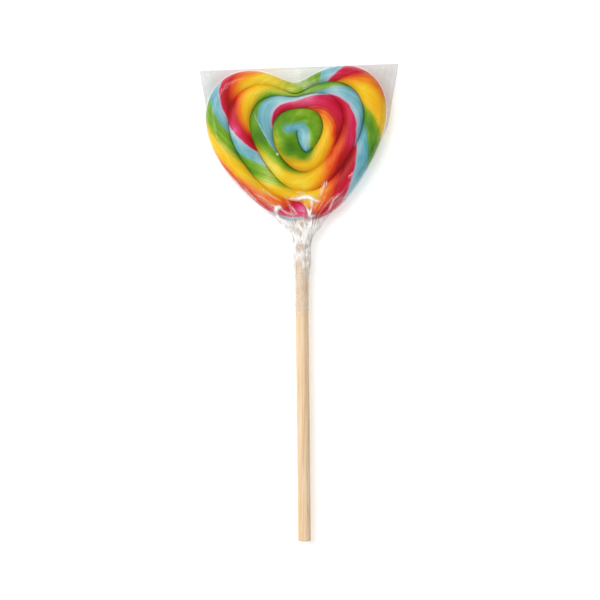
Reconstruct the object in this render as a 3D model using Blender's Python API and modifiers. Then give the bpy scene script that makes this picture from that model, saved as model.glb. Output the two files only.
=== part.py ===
# Heart lollipop in a clear film bag, lying on its back with the shown side up.
# A striped sugar rope is coiled from the middle outwards and pressed to a heart, on a round wooden stick.
# Metres, +Z up, +Y along the stick towards the heart's notch. The origin is under the middle of the whole.

import bmesh
import bpy
import numpy as np

# The candy: angles are in degrees, counterclockwise from +X round the heart's centre
HEART_CENTRE = (-0.0012, 0.0794)
CANDY_THICKNESS = 0.0110
RIM_WIDTH = 0.0045
TOP_GROOVE_DEPTH = 0.0022
BACK_GROOVE_DEPTH = 0.0010
TOP_ROPE_HALF_WIDTH = 0.0042
BACK_ROPE_HALF_WIDTH = 0.0026

# One value for the outer edge of each turn of the rope, from the innermost to the heart's outline
TURN_RADIUS = (0.0107, 0.0178, 0.0259, 0.0354)
RIGHT_LOBE = (0.0022, 0.0061, 0.0080, 0.0100)
LEFT_LOBE = (0.0007, 0.0053, 0.0074, 0.0088)
NOTCH_DEPTH = (0.0006, 0.0035, 0.0107, 0.0153)
TIP_LENGTH = (0.0, 0.0039, 0.0044, 0.0065)

# Where each of those swellings has its middle, and how far it spreads
RIGHT_LOBE_AT, RIGHT_LOBE_SPREAD = 34.8, 40.6
LEFT_LOBE_AT, LEFT_LOBE_SPREAD = 153.4, 44.8
NOTCH_AT, NOTCH_SPREAD = 90.9, 36.9
TIP_AT, TIP_SPREAD = 275.6, 34.3

# The rope steps out to the next turn between these angles
STEP_FROM, STEP_TO = 171.0, 331.0
# Its inner end unrolls from the centre, and its last turn swells before the outer end tapers to the tip
INNER_END_FROM, INNER_END_TO = 260.0, 296.0
LAST_TURN_SWELL = 0.0023
LAST_TURN_FROM, LAST_TURN_TO = 1251.0, 1320.0
OUTER_END_FROM, OUTER_END_TO = 1351.0, 1364.0

# The candy's mesh: steps along the rope, and shares of its width, on each face
ANGLE_STEPS = 72
TOP_RINGS = (0.0, 0.1, 0.3, 0.5, 0.7, 0.9, 1.0)
BACK_RINGS = (0.0, 0.2, 0.5, 0.8, 1.0)

# The stick
STICK_X = 0.0004
STICK_RADIUS = 0.0030
STICK_END_Y = -0.1107
STICK_TOP_Y = 0.0655
STICK_EDGE = 0.0004
STICK_SIDES = 24
EASED_ABOVE_ANGLE = 60.0
SMOOTH_BELOW_ANGLE = 40.0
POCKET_TIP_Y = 0.0250

# The film bag: its sealed top edge runs between two corners
GAP = 0.0003
FILM_WALL = 0.00025
SEAL_HALF_THICKNESS = 0.0003
SEAL_WIDTH = 0.0004
SLOPE_WIDTH = 0.0070
TOP_LEFT_CORNER = (-0.0461, 0.1080)
TOP_RIGHT_CORNER = (0.0461, 0.1103)
LEFT_SIDE_MEETS_CANDY = (-0.0435, 0.0906)
RIGHT_SIDE_MEETS_CANDY = (0.0416, 0.0840)
SIDE_RUNS_ON_ANGLE = 8.0
RIM_STEPS = 6

# The gathered neck, as (y, half width, half height), from inside the bag to its mouth round the stick
NECK_STATIONS = (
    (0.0460, 0.0140, 0.0050),
    (0.0405, 0.0118, 0.0051),
    (0.0375, 0.0088, 0.0048),
    (0.0345, 0.0052, 0.0042),
    (0.0315, 0.0041, 0.0039),
    (0.0285, 0.0038, 0.0037),
    (0.0240, 0.0039, 0.0037),
    (0.0195, 0.0038, 0.0037),
    (0.0145, 0.0036, 0.0036),
    (0.0080, 0.00358, 0.00358),
    (0.0010, 0.00362, 0.00362),
    (-0.0040, 0.00358, 0.00358),
)
NECK_SIDES = 36
PLEATS = 9
PLEAT_DEPTH = 0.0006
PLEAT_TURNS_PER_METRE = 25
PLEATED_BETWEEN = (0.0160, 0.0360)
MOUTH_OVERRUN = 0.0010

# Heights follow from the thicknesses: the film lies on z = 0
MIDDLE_Z = FILM_WALL + GAP + CANDY_THICKNESS / 2
ANGLE_STEP = 360 / ANGLE_STEPS
LAST_COLUMN = round((OUTER_END_TO + 360 - INNER_END_FROM) / ANGLE_STEP)


def clear_scene():
    for old in list(bpy.data.objects):
        bpy.data.objects.remove(old, do_unlink=True)


def new_collection(name):
    made = bpy.data.collections.new(name)
    bpy.context.scene.collection.children.link(made)
    return made


def new_material(name, colour, roughness, alpha=1.0):
    made = bpy.data.materials.new(name)
    made.use_nodes = True
    made.diffuse_color = (*colour, alpha)
    shader = made.node_tree.nodes["Principled BSDF"]
    shader.inputs["Base Color"].default_value = (*colour, 1.0)
    shader.inputs["Roughness"].default_value = roughness
    shader.inputs["Metallic"].default_value = 0.0
    shader.inputs["Alpha"].default_value = alpha
    return made


def new_object(name, mesh_data, collection):
    """Turns a bmesh into an object of its own, its faces pointing out."""
    bmesh.ops.recalc_face_normals(mesh_data, faces=mesh_data.faces)
    mesh = bpy.data.meshes.new(name)
    mesh_data.to_mesh(mesh)
    mesh_data.free()
    made = bpy.data.objects.new(name, mesh)
    collection.objects.link(made)
    return made


def hide_cutter(cutter):
    cutter.hide_render = True
    cutter.display_type = "WIRE"


def add_boolean(target, other, operation):
    modifier = target.modifiers.new(operation.title() + " " + other.name, "BOOLEAN")
    modifier.operation = operation
    modifier.object = other


def eased(value, start, end):
    """0 before start, 1 after end, smooth between."""
    share = min(1.0, max(0.0, (value - start) / (end - start)))
    return share * share * (3 - 2 * share)


def swelling(angle, middle, spread):
    """A smooth bump round the circle, 1 at its middle."""
    away = (angle - middle + 180) % 360 - 180
    return np.exp(-((away / spread) ** 2))


def turn_edge(angle, turn):
    """How far the outer edge of one turn lies from the heart's centre."""
    return (
        TURN_RADIUS[turn]
        + RIGHT_LOBE[turn] * swelling(angle, RIGHT_LOBE_AT, RIGHT_LOBE_SPREAD)
        + LEFT_LOBE[turn] * swelling(angle, LEFT_LOBE_AT, LEFT_LOBE_SPREAD)
        - NOTCH_DEPTH[turn] * swelling(angle, NOTCH_AT, NOTCH_SPREAD)
        + TIP_LENGTH[turn] * swelling(angle, TIP_AT, TIP_SPREAD)
    )


def outline(angle):
    return turn_edge(angle, len(TURN_RADIUS) - 1)


def rope_edge(along):
    """The rope's outer edge after so many degrees of coil, from its inner end to the heart's outline."""
    if along <= INNER_END_FROM:
        return 0.0
    turn = max(0, int((along - STEP_FROM) // 360))
    if along < LAST_TURN_FROM:
        step = eased(along - 360 * turn, STEP_FROM, STEP_TO)
        edge = turn_edge(along, max(0, turn - 1)) * (1 - step) + turn_edge(along, turn) * step
        return edge * eased(along, INNER_END_FROM, INNER_END_TO)
    edge = turn_edge(along, turn - 1) + LAST_TURN_SWELL * eased(along, LAST_TURN_FROM, LAST_TURN_TO)
    share = eased(along, OUTER_END_FROM, OUTER_END_TO)
    return edge * (1 - share) + outline(along) * share


def at_angle(angle, radius):
    """A point of the plan, by its angle and distance from the heart's centre."""
    turned = np.radians(angle)
    return np.array(HEART_CENTRE) + radius * np.array([np.cos(turned), np.sin(turned)])


def distance_to_line(points, line):
    """The distance of each point from a line of short straight pieces."""
    starts, runs = line[:-1], np.diff(line, axis=0)
    lengths = (runs**2).sum(axis=1)
    away = points[:, None] - starts
    share = np.clip((away * runs).sum(axis=2) / lengths, 0, 1)
    return np.linalg.norm(away - share[..., None] * runs, axis=2).min(axis=1)


def rope_relief(points, groove, depth, half_width):
    """How far each point lies under the rope's crest, deepest in the groove between two turns."""
    nearness = 1 - np.minimum(distance_to_line(points, groove) / half_width, 1)
    return depth * (1 - np.sqrt(1 - nearness**2))


def rim_rise(points, border):
    """The half thickness left by the round rim, from 0 at the outline to 1 inside."""
    inside = 1 - np.minimum(distance_to_line(points, border) / RIM_WIDTH, 1)
    return np.sqrt(1 - inside**2)


def shared_key(column, row, rows):
    """The name of a point of the rope's strip. A turn's inner edge is the outer edge of the turn inside it."""
    if row == 0:
        column, row = column - ANGLE_STEPS, rows
    if column <= 0:
        return (0, 0)
    if column == LAST_COLUMN:
        return (column - ANGLE_STEPS, 0)
    return (column, 0) if row == rows else (column, row)


def strip_points(shares):
    """Each point of the strip that follows the rope, as plan coordinates by key."""
    found = {}
    for column in range(LAST_COLUMN):
        along = INNER_END_FROM + column * ANGLE_STEP
        inner, outer = rope_edge(along - 360), rope_edge(along)
        for row, share in enumerate(shares):
            key = shared_key(column, row, len(shares) - 1)
            found.setdefault(key, at_angle(along, inner + (outer - inner) * share))
    return found


def groove_line():
    coil = np.arange(INNER_END_FROM, OUTER_END_TO + ANGLE_STEP / 2, ANGLE_STEP / 2)
    return np.array([at_angle(along, rope_edge(along)) for along in coil])


def border_line():
    around = np.arange(0, 360 + ANGLE_STEP / 2, ANGLE_STEP)
    return np.array([at_angle(angle, outline(angle)) for angle in around])


def candy_face(mesh_data, border, side, shares, groove_depth, rope_half_width):
    """One face of the candy. Both faces share the points of the border, which are made once."""
    rows = len(shares) - 1
    found = strip_points(shares)
    places = np.array(list(found.values()))
    rise = CANDY_THICKNESS / 2 - rope_relief(places, groove_line(), groove_depth, rope_half_width)
    rise *= rim_rise(places, border_line())
    made = {}
    for key, place, height in zip(found, places, rise):
        on_border = key[1] == 0 and key[0] >= LAST_COLUMN - ANGLE_STEPS
        if on_border and key not in border:
            border[key] = mesh_data.verts.new((*place, MIDDLE_Z))
        made[key] = border[key] if on_border else mesh_data.verts.new((*place, MIDDLE_Z + side * height))
    for column in range(LAST_COLUMN):
        for row in range(rows):
            corners = ((column, row), (column + 1, row), (column + 1, row + 1), (column, row + 1))
            keys = dict.fromkeys(shared_key(*corner, rows) for corner in corners)
            if len(keys) > 2:
                mesh_data.faces.new([made[key] for key in keys])


def build_candy(parts, cutters):
    """The pressed rope, with its coil in relief on both faces and a blind hole for the stick."""
    mesh_data = bmesh.new()
    border = {}
    candy_face(mesh_data, border, 1, TOP_RINGS, TOP_GROOVE_DEPTH, TOP_ROPE_HALF_WIDTH)
    candy_face(mesh_data, border, -1, BACK_RINGS, BACK_GROOVE_DEPTH, BACK_ROPE_HALF_WIDTH)
    candy = new_object("candy", mesh_data, parts)
    candy.data.materials.append(new_material("boiled sugar, striped", (0.75, 0.18, 0.05), 0.25))
    candy.data.shade_smooth()
    pocket = add_rod("stick_hole", STICK_RADIUS + GAP, POCKET_TIP_Y, STICK_TOP_Y + GAP, cutters)
    hide_cutter(pocket)
    add_boolean(candy, pocket, "DIFFERENCE")


def add_rod(name, radius, low_y, high_y, collection):
    """A round bar along Y on the stick's axis."""
    mesh_data = bmesh.new()
    bmesh.ops.create_cone(
        mesh_data, cap_ends=True, segments=STICK_SIDES, radius1=radius, radius2=radius, depth=high_y - low_y
    )
    made = new_object(name, mesh_data, collection)
    made.location = (STICK_X, (low_y + high_y) / 2, MIDDLE_Z)
    made.rotation_euler = (np.pi / 2, 0, 0)
    return made


def build_stick(parts):
    stick = add_rod("stick", STICK_RADIUS, STICK_END_Y, STICK_TOP_Y, parts)
    stick.data.materials.append(new_material("birch, sanded", (0.85, 0.66, 0.42), 0.6))
    bevel = stick.modifiers.new("Eased ends", "BEVEL")
    bevel.width = STICK_EDGE
    bevel.segments = 2
    bevel.limit_method = "ANGLE"
    bevel.angle_limit = np.radians(EASED_ABOVE_ANGLE)
    stick.data.shade_smooth()
    stick.data.set_sharp_from_angle(angle=np.radians(SMOOTH_BELOW_ANGLE))


def add_loft(name, rings, collection):
    """A closed body through rings of equally many points, with a flat face at each end."""
    mesh_data = bmesh.new()
    rows = [[mesh_data.verts.new(point) for point in ring] for ring in rings]
    count = len(rows[0])
    for lower, upper in zip(rows, rows[1:]):
        for i in range(count):
            j = (i + 1) % count
            mesh_data.faces.new((lower[i], lower[j], upper[j], upper[i]))
    mesh_data.faces.new(rows[0][::-1])
    mesh_data.faces.new(rows[-1])
    return new_object(name, mesh_data, collection)


def reach_to_line(angle, start, end):
    """The distance from the heart's centre to a straight line, along an angle."""
    turned = np.radians(angle)
    ahead = np.array([np.cos(turned), np.sin(turned)])
    run = np.subtract(end, start)
    normal = np.array([run[1], -run[0]])
    return normal @ np.subtract(start, HEART_CENTRE) / (normal @ ahead)


def angle_to(point):
    x, y = np.subtract(point, HEART_CENTRE)
    return np.degrees(np.arctan2(y, x)) % 360


def bag_edge(angle):
    """How far the bag reaches: to its seals at the top, and close round the candy elsewhere."""
    hugging = outline(angle) + GAP + FILM_WALL + SEAL_WIDTH
    sealed_from = angle_to(RIGHT_SIDE_MEETS_CANDY) - SIDE_RUNS_ON_ANGLE
    sealed_to = angle_to(LEFT_SIDE_MEETS_CANDY) + SIDE_RUNS_ON_ANGLE
    if not sealed_from < angle < sealed_to:
        return hugging
    top = reach_to_line(angle, TOP_LEFT_CORNER, TOP_RIGHT_CORNER)
    left = reach_to_line(angle, TOP_LEFT_CORNER, LEFT_SIDE_MEETS_CANDY)
    right = reach_to_line(angle, TOP_RIGHT_CORNER, RIGHT_SIDE_MEETS_CANDY)
    sealed = min(reach for reach in (top, left, right) if reach > 0)
    return max(hugging, sealed)


def bag_angles():
    """Equal steps round the bag, with the nearest ones moved onto its two corners."""
    angles = np.arange(ANGLE_STEPS) * 360 / ANGLE_STEPS
    for corner in (TOP_LEFT_CORNER, TOP_RIGHT_CORNER):
        at = angle_to(corner)
        angles[np.abs(angles - at).argmin()] = at
    return angles


def bag_rings(inset, with_seal):
    """The bag's two sheets, from the flat back over the rim to the flat front."""
    half_height = MIDDLE_Z - inset
    edge_half = SEAL_HALF_THICKNESS if with_seal else 0.0
    angles = bag_angles()
    starts = [outline(angle) - RIM_WIDTH for angle in angles]
    seals = [bag_edge(angle) for angle in angles]
    ends = []
    for angle, seal in zip(angles, seals):
        slope_end = outline(angle) + GAP + FILM_WALL + SLOPE_WIDTH
        ends.append(min(slope_end, seal - SEAL_WIDTH) - inset)

    def ring(reaches, z):
        return [(*at_angle(angle, reach), z) for angle, reach in zip(angles, reaches)]

    lower = []
    for step in range(RIM_STEPS + (1 if with_seal else 0)):
        turn = np.pi / 2 * step / RIM_STEPS
        reaches = [start + (end - start) * np.sin(turn) for start, end in zip(starts, ends)]
        lower.append((reaches, edge_half + (half_height - edge_half) * np.cos(turn)))
    if with_seal:
        lower.append((seals, edge_half))
    rings = [ring(reaches, MIDDLE_Z - rise) for reaches, rise in lower]
    if not with_seal:
        rings.append(ring(ends, MIDDLE_Z))
    return rings + [ring(reaches, MIDDLE_Z + rise) for reaches, rise in reversed(lower)]


def neck_rings(inset, pleated, last_y):
    """The gathered film, as ovals round the stick's axis."""
    rings = []
    around = 2 * np.pi * np.arange(NECK_SIDES) / NECK_SIDES
    for y, half_width, half_height in NECK_STATIONS:
        low, high = PLEATED_BETWEEN
        fold = 0.5 + 0.5 * np.cos(PLEATS * around + 2 * np.pi * PLEAT_TURNS_PER_METRE * y)
        swing = PLEAT_DEPTH * fold if pleated and low < y < high else 0.0
        y = last_y if y == NECK_STATIONS[-1][0] else y
        xs = STICK_X + (half_width - inset + swing) * np.cos(around)
        zs = MIDDLE_Z + (half_height - inset + swing) * np.sin(around)
        rings.append([(x, y, z) for x, z in zip(xs, zs)])
    return rings


def build_film(parts, cutters):
    """A thin bag round the candy, flat underneath, sealed along the top and gathered round the stick."""
    mouth_y = NECK_STATIONS[-1][0]
    film = add_loft("film", bag_rings(0.0, True), parts)
    film.data.materials.append(new_material("clear film", (0.92, 0.92, 0.90), 0.15, alpha=0.3))
    neck = add_loft("neck_outside", neck_rings(0.0, True, mouth_y), cutters)
    bag_inside = add_loft("bag_inside", bag_rings(FILM_WALL, False), cutters)
    neck_inside = add_loft("neck_inside", neck_rings(FILM_WALL, False, mouth_y - MOUTH_OVERRUN), cutters)
    add_boolean(film, neck, "UNION")
    add_boolean(film, bag_inside, "DIFFERENCE")
    add_boolean(film, neck_inside, "DIFFERENCE")
    for cutter in (neck, bag_inside, neck_inside):
        hide_cutter(cutter)


def main():
    clear_scene()
    parts = new_collection("heart_lollipop")
    cutters = new_collection("cutters")
    build_candy(parts, cutters)
    build_stick(parts)
    build_film(parts, cutters)


main()
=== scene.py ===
import math

import bpy
import numpy as np
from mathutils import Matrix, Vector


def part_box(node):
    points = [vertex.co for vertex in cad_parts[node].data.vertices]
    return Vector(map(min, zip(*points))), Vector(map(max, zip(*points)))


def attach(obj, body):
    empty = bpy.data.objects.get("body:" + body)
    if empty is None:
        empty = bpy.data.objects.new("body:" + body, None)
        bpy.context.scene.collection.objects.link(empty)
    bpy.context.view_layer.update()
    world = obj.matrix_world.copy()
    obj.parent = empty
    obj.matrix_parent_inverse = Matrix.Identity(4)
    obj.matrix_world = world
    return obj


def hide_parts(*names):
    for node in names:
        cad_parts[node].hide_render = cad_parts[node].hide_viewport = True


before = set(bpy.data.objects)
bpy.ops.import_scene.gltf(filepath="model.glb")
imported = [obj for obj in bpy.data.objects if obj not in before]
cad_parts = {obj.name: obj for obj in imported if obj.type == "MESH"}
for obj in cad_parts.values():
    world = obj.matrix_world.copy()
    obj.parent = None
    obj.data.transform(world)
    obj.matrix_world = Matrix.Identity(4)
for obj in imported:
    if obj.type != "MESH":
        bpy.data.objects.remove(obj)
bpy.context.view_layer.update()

# A swirl lollipop on a wooden stick, in a clear film bag, lying on its back. The candy is a twisted sugar
# rope, coiled and pressed to a heart. Lengths are millimetres unless said; angles are degrees,
# counterclockwise from +X.

mm = 0.001
candyLow, candyHigh = (np.array(corner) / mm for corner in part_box("candy"))
stickLow, stickHigh = (np.array(corner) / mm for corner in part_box("stick"))
middleZ = (candyLow[2] + candyHigh[2]) / 2


# Small helpers

def hexColour(text, alpha=1.0):
    # sRGB hex to the linear colour that shaders take
    parts = [int(text[i:i + 2], 16) / 255 for i in (0, 2, 4)]
    linear = [p / 12.92 if p <= 0.04045 else ((p + 0.055) / 1.055) ** 2.4 for p in parts]
    return (*linear, alpha)


def addNode(tree, kind, settings=None, inputs=None):
    # one shader node: settings are its options, inputs are values or the sockets that feed them
    node = tree.nodes.new(kind)
    for key, value in (settings or {}).items():
        setattr(node, key, value)
    for key, value in (inputs or {}).items():
        if isinstance(value, bpy.types.NodeSocket):
            tree.links.new(value, node.inputs[key])
        else:
            node.inputs[key].default_value = value
    return node


def mathNode(tree, operation, *values, clamp=False):
    # these values and sockets reckoned up to one socket
    settings = {"operation": operation, "use_clamp": clamp}
    return addNode(tree, "ShaderNodeMath", settings, dict(enumerate(values))).outputs[0]


def rangeNode(tree, value, start, end, low=0.0, high=1.0):
    # the value's way from start to end, carried over to the way from low to high
    return addNode(tree, "ShaderNodeMapRange", inputs={
        "Value": value, "From Min": start, "From Max": end, "To Min": low, "To Max": high}).outputs[0]


def noiseNode(tree, place, size, detail, roughness=0.5):
    # an uneven pattern whose patches have this size in millimetres
    return addNode(tree, "ShaderNodeTexNoise", inputs={
        "Vector": place, "Scale": 1 / (size * mm), "Detail": detail, "Roughness": roughness}).outputs["Fac"]


def mixNode(tree, share, first, second, blend="MIX"):
    return addNode(tree, "ShaderNodeMix", {"data_type": "RGBA", "blend_type": blend}, {
        "Factor": share, 6: first, 7: second}).outputs[2]


def rampNode(tree, value, stops):
    node = addNode(tree, "ShaderNodeValToRGB", inputs={"Fac": value})
    ramp = node.color_ramp
    while len(ramp.elements) > 1:
        ramp.elements.remove(ramp.elements[-1])
    ramp.elements[0].position, ramp.elements[0].color = stops[0]
    for position, colour in stops[1:]:
        ramp.elements.new(position).color = colour
    return node.outputs["Color"]


def attributeNodes(tree, *names):
    return [addNode(tree, "ShaderNodeAttribute", {"attribute_name": name}).outputs["Fac"] for name in names]


def newMaterial(name):
    made = bpy.data.materials.new(name)
    made.use_nodes = True
    made.node_tree.nodes.clear()
    return made, made.node_tree


def eased(value, start, end):
    share = np.clip((np.asarray(value, float) - start) / (end - start), 0, 1)
    return share * share * (3 - 2 * share)


def smoothNoise(places, size, seed, wrap=64):
    # random values from -1 to 1 on a lattice of this size, joined smoothly; it repeats after wrap cells
    cell = places / size
    low = np.floor(cell).astype(int)
    share = cell - low
    share = share * share * (3 - 2 * share)
    table = np.random.default_rng(seed).uniform(-1, 1, (wrap, 64))
    total = np.zeros(cell.shape[:-1])
    for stepX in (0, 1):
        for stepY in (0, 1):
            weight = abs(1 - stepX - share[..., 0]) * abs(1 - stepY - share[..., 1])
            total += weight * table[(low[..., 0] + stepX) % wrap, (low[..., 1] + stepY) % 64]
    return total


shortestPiece = 1e-6


def nearestOn(line, points, batch=2000):
    # each point's distance from a line of straight pieces, and the share of the line that comes before the
    # nearest place on it; a piece of no length counts as a point
    line = np.asarray(line, float)
    starts, runs = line[:-1], np.diff(line, axis=0)
    lengths = np.maximum(np.linalg.norm(runs, axis=1), shortestPiece)
    before = np.cumsum(lengths) - lengths
    found, along = [], []
    for at in range(0, len(points), batch):
        away = points[at:at + batch, None] - starts
        share = np.clip((away * runs).sum(axis=2) / lengths ** 2, 0, 1)
        distance = np.linalg.norm(away - share[..., None] * runs, axis=2)
        nearest = distance.argmin(axis=1)
        row = np.arange(len(nearest))
        found.append(distance[row, nearest])
        along.append((before[nearest] + share[row, nearest] * lengths[nearest]) / lengths.sum())
    return np.concatenate(found), np.concatenate(along)


def distanceTo(line, points):
    return nearestOn(line, points)[0]


def meshPiece(name, points, faces, cornerMaps=None, pointMaps=None):
    # points in millimetres; cornerMaps are UV maps, a pair per face corner; pointMaps hold a number per point
    mesh = bpy.data.meshes.new(name)
    mesh.from_pydata((np.asarray(points) * mm).tolist(), [], faces)
    for mapName, values in (cornerMaps or {}).items():
        layer = mesh.uv_layers.new(name=mapName)
        layer.data.foreach_set("uv", np.asarray(values, np.float32).ravel())
    for mapName, values in (pointMaps or {}).items():
        layer = mesh.attributes.new(mapName, "FLOAT", "POINT")
        layer.data.foreach_set("value", np.asarray(values, np.float32).ravel())
    mesh.shade_smooth()
    piece = bpy.data.objects.new(name, mesh)
    bpy.context.scene.collection.objects.link(piece)
    return piece


def finishPiece(piece, material, node):
    piece.data.materials.append(material)
    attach(piece, "root")
    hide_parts(node)


# The heart's coil, from the same sizes as the solid

heart = {
    "centre": (-1.2, 79.4),
    "turnRadius": (10.7, 17.8, 25.9, 35.4),     # outer edge of each turn, from the inside out
    "rightLobe": (2.2, 6.1, 8.0, 10.0),
    "leftLobe": (0.7, 5.3, 7.4, 8.8),
    "notchDepth": (0.6, 3.5, 10.7, 15.3),
    "tipLength": (0.0, 3.9, 4.4, 6.5),
    "rightLobeAt": (34.8, 40.6),                # middle and spread
    "leftLobeAt": (153.4, 44.8),
    "notchAt": (90.9, 36.9),
    "tipAt": (275.6, 34.3),
    "stepBetween": (171, 331),                  # where the rope steps out to its next turn
    "innerEnd": (260, 296),                     # where it starts, and where it has its full width
    "lastTurn": (1251, 1320),                   # where the last groove moves out, and by how much
    "lastTurnSwell": 2.3,
    "outerEnd": (1351, 1364),                   # where it runs out to the heart's outline
}


def swelling(angle, place):
    middle, spread = place
    away = (angle - middle + 180) % 360 - 180
    return np.exp(-((away / spread) ** 2))


def turnEdge(angle, turn):
    sizes = {key: np.take(heart[key], np.clip(turn, 0, 3)) for key in
             ("turnRadius", "rightLobe", "leftLobe", "notchDepth", "tipLength")}
    return (sizes["turnRadius"]
            + sizes["rightLobe"] * swelling(angle, heart["rightLobeAt"])
            + sizes["leftLobe"] * swelling(angle, heart["leftLobeAt"])
            - sizes["notchDepth"] * swelling(angle, heart["notchAt"])
            + sizes["tipLength"] * swelling(angle, heart["tipAt"]))


def heartOutline(angle):
    return turnEdge(angle, 3)


def ropeEdge(along):
    # the rope's outer edge, after so many degrees of coil
    along = np.asarray(along, float)
    turn = np.maximum(0, ((along - heart["stepBetween"][0]) // 360).astype(int))
    step = eased(along - 360 * turn, *heart["stepBetween"])
    edge = turnEdge(along, turn - 1) * (1 - step) + turnEdge(along, turn) * step
    edge = edge * eased(along, *heart["innerEnd"])
    last = turnEdge(along, 2) + heart["lastTurnSwell"] * eased(along, *heart["lastTurn"])
    share = eased(along, *heart["outerEnd"])
    last = last * (1 - share) + heartOutline(along) * share
    edge = np.where(along < heart["lastTurn"][0], edge, last)
    return np.where(along <= heart["innerEnd"][0], 0.0, edge)


def atAngle(angle, radius):
    turned = np.radians(angle)
    x = heart["centre"][0] + radius * np.cos(turned)
    y = heart["centre"][1] + radius * np.sin(turned)
    return np.stack([x, y], axis=-1)


def insideHeart(points):
    away = points - heart["centre"]
    angle = np.degrees(np.arctan2(away[:, 1], away[:, 0]))
    return np.hypot(away[:, 0], away[:, 1]) < heartOutline(angle)


coilAngles = np.arange(heart["innerEnd"][0], heart["outerEnd"][1] + 1, 2.5)
grooveLine = atAngle(coilAngles, ropeEdge(coilAngles))
borderAngles = np.arange(0, 361.5, 1.5)
borderLine = atAngle(borderAngles, heartOutline(borderAngles))


# The candy

candy = {
    "thickness": candyHigh[2] - candyLow[2],
    "rim": 4.5,                 # width of the rounded edge
    "grooveDepth": (2.7, 1.2),  # shown face, back
    "grooveRound": 0.30,        # the radius left at a groove's bottom
    "ropeHalf": (4.3, 2.6),     # how far each groove's shoulder reaches
    "crackHalf": 0.26,          # half width of the painted shade along the crack between two turns
    "shadeHalf": 1.5,           # how far painted shade, a deeper and darker colour, reaches from a groove
    "seam": 3.0,                # the reach over which colour follows the distance from a seam
    "strandDip": 0.12,          # the hollow where two strands meet
    "dipHalf": 0.25,            # its half width, as a share of the seam's reach
    "unevenness": 0.18,
    "unevenSize": 7.0,
    "crackNoise": 9.0,          # over such lengths the painted shade in the cracks gets fainter and stronger
    "shadeNoise": 11.0,
    "coilStart": 200,           # an angle before the first strand, and one past the last
    "coilEnd": 1800,
    "curl": [(-5.4, 80.5), (-1.6, 81.0), (1.6, 81.3)],   # the blue strand's start bends over to the left
    "curlAlong": (400, 640),
    "curlHalf": 1.9,
    "cutEnd": [(-0.6, 44.6), (1.8, 44.0), (3.4, 40.0)],  # the cut end shows the pink between red and blue
    "cutEndHalf": 2.4,
    "cutEndPhase": 33.80,
    "stepsPerTurn": 288,
    "rows": (22, 12),           # across the rope, on the shown face and the back
    "seamPoints": 25,
}

# Where each colour starts along the rope, in degrees of coil: on its outer side, then on its inner side. Some
# seams bend, so they have a power for that, and some are softer, so they have a reach in millimetres.
strandStarts = {
    "green": [(306, 640, 2.9, 4.0), (848, 950), (1118, 1146), (1278, 1310), (1412, 1448), (1508, 1504),
              (1598, 1622)],
    "yellow": [(530, 676, 0.31, 4.5), (918, 1003, 1, 4.0), (1185, 1228, 1, 4.5), (1308, 1345), (1435, 1462),
               (1541, 1549, 1, 17.0), (1613, 1650)],
    "orange": [(668, 745), (1003, 1032), (1214, 1258), (1345, 1378), (1458, 1490), (1556, 1588),
               (1632, 1696, 0.8)],
    "red": [(700, 785), (1022, 1092), (1232, 1270), (1358, 1400), (1478, 1492), (1574, 1600),
            (1640, 1707, 0.18)],
    "blue": [(765, 890), (1063, 1130), (1254, 1288), (1382, 1428), (1493, 1498), (1585, 1610),
             (1688, 1790)],
}
strandOrder = ("green", "yellow", "orange", "red", "blue")

# Patches where the sugar is deeper (above 0) or paler (below 0): middle, reach and strength
# they are partly the sugar's own uneven tone, partly painted shade on sides turned from the light and painted
# light on lit tops
sugarPatches = (
    ((-5.0, 71.6), 3.6, 0.7), ((0.6, 66.8), 3.0, 0.4), ((34.2, 80.3), 4.5, 0.3), ((32.9, 70.4), 4.0, 0.45),
    ((21.1, 62.3), 6.5, 0.7), ((24.8, 67.9), 4.5, 0.5), ((-33.7, 94.7), 5.5, 0.6), ((17.4, 78.5), 3.0, 0.35),
    ((-18.7, 75.3), 4.0, 0.5), ((-5.7, 63.5), 3.5, 0.4), ((2.4, 88.4), 4.5, -0.40),
    ((-8.8, 98.4), 5.5, -0.35), ((-17.0, 64.0), 5.5, -0.40), ((-12.3, 58.8), 5.5, -0.60),
    ((17.4, 98.4), 5.0, -0.45), ((5.5, 94.0), 4.5, -0.30), ((-29.9, 80.3), 3.5, -0.35),
    ((3.6, 76.0), 3.0, -0.30), ((1.2, 44.0), 3.0, -0.80), ((38.0, 92.0), 6.0, 0.35),
    ((-18.5, 102.5), 7.0, -0.30), ((1.5, 54.0), 6.0, -0.20),
)

# Each strand's colour from its start to its end, as (share of its width, sRGB hex); it bleeds over the rest
strandTones = {
    "green": [(0.14, "7DB030"), (0.45, "70A414"), (0.72, "8CB420")],
    "yellow": [(0.24, "F2CC28"), (0.50, "F9CE1C"), (0.70, "F9C412")],
    "orange": [(0.34, "F4860E"), (0.66, "E95C14"), (0.88, "D43C12")],
    "red": [(0.14, "C8142A"), (0.50, "D41646"), (0.90, "DC285E")],
    "blue": [(0.10, "C2CCDC"), (0.38, "92C8D4"), (0.84, "74B7C2")],
}


def seamAlong(start, across):
    # where along the rope a strand starts, at this share of the way from its inner to its outer side
    outer, inner, bend = (*start, 1.0)[:3]
    return outer + (inner - outer) * (1 - across) ** bend


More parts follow.
